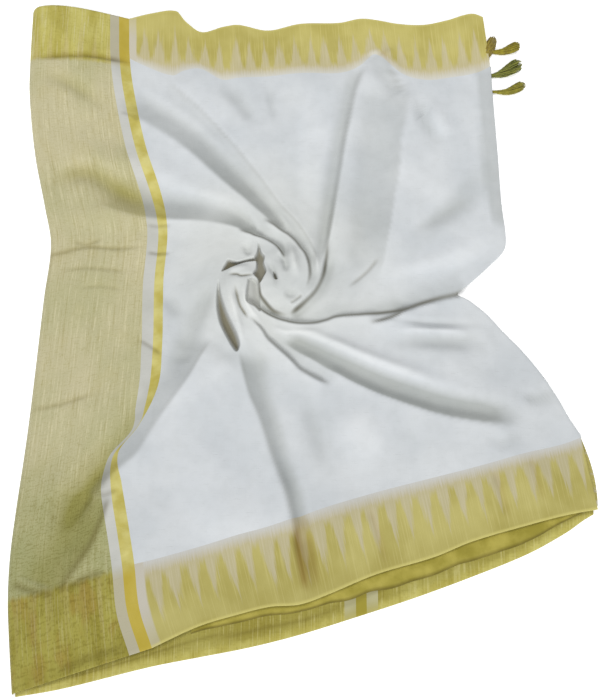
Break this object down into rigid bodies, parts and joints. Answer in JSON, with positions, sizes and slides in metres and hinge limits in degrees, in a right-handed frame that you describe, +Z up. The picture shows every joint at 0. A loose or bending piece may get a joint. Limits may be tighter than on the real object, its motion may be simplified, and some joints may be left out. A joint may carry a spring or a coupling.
{
  "type": "saree",
  "caption": "White cotton saree laid flat and folded, its top layer wound into a rose-like swirl, with a striped pallu, yellow temple borders and tassels.",
  "frame": {"origin": "middle of the object's box on the surface that it lies on", "axes": "+X along the length of the cloth, from the folded pallu edge to the free edge; +Y across its width, from the bottom border to the top one; +Z up"},
  "size_m": [0.8712, 1.1022, 0.0453],
  "materials": {
    "pallu_stripe": "matt handloom cotton, beige olive with fine cream and dark lines",
    "white_cotton": "soft matt white cotton with a fine plain weave",
    "yellow_bar": "yellow ribbed bar with a slight lustre",
    "temple_border": "yellow border with pale temple spikes of soft outline",
    "inner_olive": "matt olive yellow cotton in the shade of the fold",
    "hidden_cotton": "edges of the folded white and yellow layers",
    "tassel_thread": "olive and mustard cotton thread, loosely twisted"
  },
  "bodies": {
    "root": {"pallu": "pallu_stripe", "bar_white": "white_cotton", "bar_yellow": "yellow_bar", "border_bottom": "temple_border", "border_top": "temple_border", "field": "white_cotton", "swirl": "white_cotton", "under_layers": "hidden_cotton", "under_pallu_left": "pallu_stripe", "under_bar_white_left": "white_cotton", "under_bar_yellow": "yellow_bar", "under_bar_white_right": "white_cotton", "under_pallu_right": "pallu_stripe", "inner_fold": "inner_olive", "border_corner": "temple_border", "tassel_1": "tassel_thread", "tassel_2": "tassel_thread", "tassel_3": "tassel_thread", "tassel_4": "tassel_thread"}
  },
  "joints": []
}
